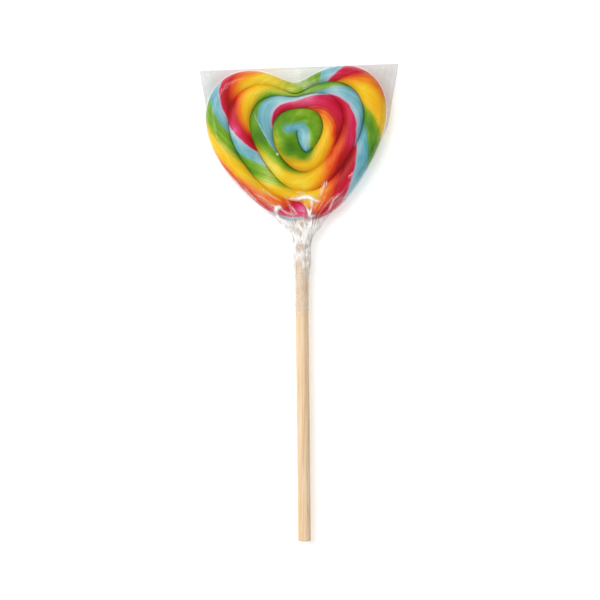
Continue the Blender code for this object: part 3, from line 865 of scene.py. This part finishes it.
def filmRelief(x, y, u, face, sleeve):
    # pleats that run up from the neck, crumples on the sleeve, and the single creases; with how white each is
    # the white is partly film whitened at the folds and partly painted glints
    seeds, neckY = film["seeds"], film["pleatsFrom"]
    place = u * film["pleats"] / 2 if face == 0 else film["pleats"] - u * film["pleats"] / 2
    turned = place[None, :] + film["pleatTwist"] * (neckY - y)
    pleatPlace = np.stack([turned, y / film["pleatLength"]], axis=-1)
    pleat = smoothNoise(pleatPlace, 1.0, seeds["pleat"], wrap=2 * film["pleats"])
    fold = np.clip(1 - np.abs(pleat) * 2.6, 0, 1)
    spread = film["pleatSpread"][0] + film["pleatSpread"][1] * np.abs(u) ** 3
    reach = np.where(y > neckY, np.exp(-((y - neckY) / spread) ** 2), 0.35 + 0.65 * eased(y, 24, neckY))
    reach = reach * (0.25 + 0.75 * eased(y, 8, 20))
    lift = film["pleatHeight"] * fold * reach
    crumplePlace = np.stack([place[None, :] * 0.8 + 0 * y, y / film["crumpleLength"]], axis=-1)
    crumple = np.clip(1 - np.abs(smoothNoise(crumplePlace, 1.0, seeds["crumple"])) * 2.4, 0, 1)
    onSleeve = eased(y, 4, 18) * (1 - eased(y, 30, 40))
    lift = lift + film["crumpleHeight"] * crumple * (0.2 + 0.8 * onSleeve) * sleeve
    # pleats and crumples are whitened: partly whitened film, partly painted glints
    foldWhiteAndGlint = np.clip(0.45 * fold ** 2 * reach + 0.4 * crumple ** 3 * sleeve * eased(y, 8, 20), 0, 1)
    if face == 0:
        places = np.column_stack([x.ravel(), y.ravel()])
        breaks = smoothNoise(np.stack([x, y], axis=-1), film["creaseBreaks"], seeds["crease"])
        broken = np.clip(0.85 + 0.6 * breaks, 0.35, 1)
        for course, height, halfWidth, whiteness in creasesAndGlints:
            # each crease is narrow and faint at its ends, and widest in the middle
            away, along = (found.reshape(x.shape) for found in nearestOn(course, places))
            fullness = np.sqrt(np.sin(math.pi * np.clip(along, 0.02, 0.98)))
            narrow = away / (halfWidth * (0.35 + 0.65 * fullness))
            lift = lift + height * fullness * np.exp(-narrow ** 2)
            foldWhiteAndGlint = np.maximum(foldWhiteAndGlint, broken * whiteness * fullness * np.exp(-(narrow / 0.6) ** 2))
    # faint ripples all over, as thin film never lies quite flat
    ripple = smoothNoise(np.stack([x, y], axis=-1), film["rippleSize"], seeds["ripple"] + face)
    lift = lift + film["rippleHeight"] * (1 + ripple)
    return lift, foldWhiteAndGlint


def filmMaterial():
    # Clear polypropylene film, 0.03 mm: nearly unseen where it lies on the candy, hazy where it is loose,
    # white and mottled where it is gathered, mirror-bright where it turns, with painted glints on its creases
    made, tree = newMaterial("clearPolypropyleneFilm")
    crease, gather, loose = attributeNodes(tree, "crease", "gather", "loose")
    place = addNode(tree, "ShaderNodeTexCoord").outputs["Object"]
    streaked = addNode(tree, "ShaderNodeMapping", inputs={"Vector": place, "Scale": (1, 0.6, 1)}).outputs[0]
    mottle = noiseNode(tree, streaked, film["mottle"], 1.0)
    # gathered film is several layers, so light from behind comes through grey and uneven
    several = mathNode(tree, "POWER", gather, 2.5)
    layers = mathNode(tree, "MULTIPLY", several, rangeNode(tree, mottle, 0.42, 0.62))
    air = mixNode(tree, loose, hexColour(film["clearTone"]), hexColour(film["looseTone"]))
    tint = mixNode(tree, layers, air, hexColour(film["layersTone"]))
    clear = addNode(tree, "ShaderNodeBsdfTransparent", inputs={"Color": tint})
    shine = addNode(tree, "ShaderNodeBsdfGlossy", inputs={"Color": hexColour("FFFFFF"), "Roughness": 0.12})
    # gloss from 2% face on to over half edge on, the same from both sides of the sheet
    turning = addNode(tree, "ShaderNodeLayerWeight", inputs={"Blend": 0.5}).outputs["Facing"]
    gloss = mathNode(tree, "MULTIPLY_ADD", mathNode(tree, "POWER", turning, 5.0), 0.55, 0.02)
    sheet = addNode(tree, "ShaderNodeMixShader", inputs={
        0: gloss, 1: clear.outputs[0], 2: shine.outputs[0]})
    # gathered film scatters much of the light, and loose film a little
    milk = mathNode(tree, "MULTIPLY_ADD", gather, film["gatherMilk"],
                    mathNode(tree, "MULTIPLY", loose, film["looseMilk"]))
    milk = mathNode(tree, "MULTIPLY", milk, rangeNode(tree, mottle, 0.38, 0.62, 1.25, 0.55))
    # creases add their white, partly whitened film and partly painted glints
    whiteness = mathNode(tree, "MULTIPLY_ADD", crease, film["creaseGlintShare"], milk, clamp=True)
    scatter = addNode(tree, "ShaderNodeBsdfDiffuse", inputs={"Color": hexColour(film["milkTone"])})
    whole = addNode(tree, "ShaderNodeMixShader", inputs={
        0: whiteness, 1: sheet.outputs[0], 2: scatter.outputs[0]})
    addNode(tree, "ShaderNodeOutputMaterial", inputs={"Surface": whole.outputs[0]})
    return made


filmBag = buildFilm()
finishPiece(filmBag, filmMaterial(), "film")
print("film: bag and sleeve,", len(filmBag.data.polygons), "faces")


# The floor, the light and the camera

# Lengths here are metres and powers watts
studio = {
    "floorSize": 4.0,
    "floorGlow": 0.28,
    "lamps": (                  # name, place, size and power; each looks at the origin
        ("keySoftbox", (-0.50, 0.42, 0.95), 0.85, 8.9),
        ("fillSoftbox", (0.62, -0.08, 0.95), 0.9, 1.8),
        ("footSoftbox", (-0.15, -0.75, 0.95), 0.9, 2.5),
    ),
    "tent": (0.50, 0.2),        # strength low down and overhead
    "tentSides": (1.3, 0.6),    # its share on the key lamp's side and on the other
}


def addFloor():
    bpy.ops.mesh.primitive_plane_add(size=studio["floorSize"], location=(0, 0, 0))
    floor = bpy.context.object
    floor.name = "floor"
    # a light table: matt white acrylic, lit a little from below, so that shadows stay faint
    made, tree = newMaterial("whiteAcrylicMattLit")
    shader = addNode(tree, "ShaderNodeBsdfPrincipled", inputs={
        "Base Color": hexColour("FBFBFB"), "Roughness": 0.9,
        "Emission Color": hexColour("FFFFFF"), "Emission Strength": studio["floorGlow"]})
    addNode(tree, "ShaderNodeOutputMaterial", inputs={"Surface": shader.outputs["BSDF"]})
    floor.data.materials.append(made)


def addLamp(name, place, size, power):
    lamp = bpy.data.lights.new(name, "AREA")
    lamp.shape = "SQUARE"
    lamp.size = size
    lamp.energy = power
    made = bpy.data.objects.new(name, lamp)
    made.location = place
    made.rotation_euler = made.location.to_track_quat("Z", "Y").to_euler()
    bpy.context.scene.collection.objects.link(made)


view = {
    "pixelSize": 0.465,        # millimetres on the object to one pixel of the photograph
    "imageWidth": 600,
    "heartPixel": (297, 132),  # where the photograph has the heart's centre
    "roll": 0.565,
    "lens": 100.0,
    "sensor": 36.0,
}


def addCamera():
    scene = bpy.context.scene
    camera = bpy.data.objects.new("camera", bpy.data.cameras.new("camera"))
    scene.collection.objects.link(camera)
    camera.data.lens, camera.data.sensor_width = view["lens"], view["sensor"]
    camera.data.sensor_fit = "HORIZONTAL"
    width = view["imageWidth"] * view["pixelSize"]
    distance = view["lens"] / view["sensor"] * width
    roll = math.radians(view["roll"])
    right = (view["heartPixel"][0] - view["imageWidth"] / 2) * view["pixelSize"]
    up = (view["imageWidth"] / 2 - view["heartPixel"][1]) * view["pixelSize"]
    x = heart["centre"][0] - (right * math.cos(roll) + up * math.sin(roll))
    y = heart["centre"][1] - (-right * math.sin(roll) + up * math.cos(roll))
    camera.location = (x * mm, y * mm, (distance + middleZ) * mm)
    camera.rotation_euler = (0, 0, -roll)
    camera.data.clip_end = 10
    scene.camera = camera


def addWorld():
    # a pale tent: bright low down all round, dim overhead so that the film above the candy stays clear
    world = bpy.data.worlds.new("studio")
    world.use_nodes = True
    tree = world.node_tree
    direction = addNode(tree, "ShaderNodeTexCoord")
    sides = addNode(tree, "ShaderNodeSeparateXYZ", inputs={"Vector": direction.outputs["Generated"]})
    overhead = rangeNode(tree, sides.outputs["Z"], 0.45, 0.9, *studio["tent"])
    # the side away from the key lamp is darker
    sideways = rangeNode(tree, sides.outputs["X"], -1.0, 1.0, *studio["tentSides"])
    strength = mathNode(tree, "MULTIPLY", overhead, sideways)
    background = tree.nodes["Background"]
    background.inputs["Color"].default_value = (1, 1, 1, 1)
    tree.links.new(strength, background.inputs["Strength"])
    bpy.context.scene.world = world


addFloor()
for name, place, size, power in studio["lamps"]:
    addLamp(name, place, size, power)
addCamera()
addWorld()
bpy.context.scene.view_settings.view_transform = "Standard"
print("floor, lamps and camera are in place")
